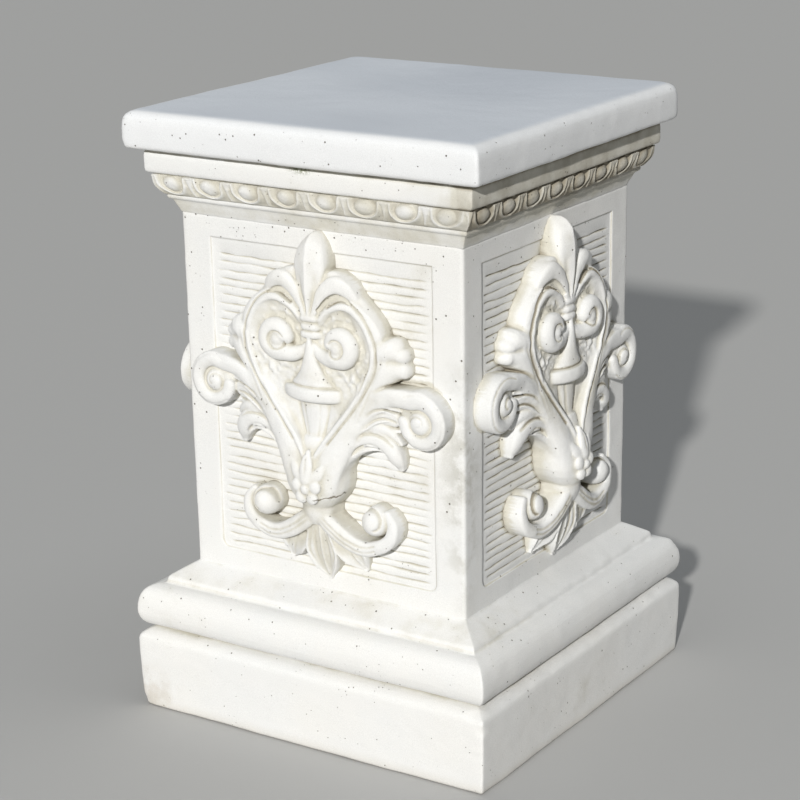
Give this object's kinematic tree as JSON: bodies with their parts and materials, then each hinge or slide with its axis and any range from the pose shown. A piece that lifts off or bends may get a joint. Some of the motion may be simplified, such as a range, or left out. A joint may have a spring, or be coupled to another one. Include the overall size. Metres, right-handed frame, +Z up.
{
  "type": "garden pedestal",
  "caption": "Square cast-stone garden pedestal with carved scroll and leaf panels, egg-and-dart cornice, flat top slab and stepped base, to carry an urn or statue.",
  "frame": {"origin": "middle of the flat underside", "axes": "+Z up along the pedestal's height; -Y and +X are the two carved faces seen in the picture, and all four faces are carved alike"},
  "size_m": [0.3606, 0.3606, 0.54],
  "materials": {
    "cast_stone": "matte white cast stone, warm in the recesses, with fine pits and a little dirt"
  },
  "bodies": {
    "root": {"pedestal": "cast_stone"}
  },
  "joints": []
}
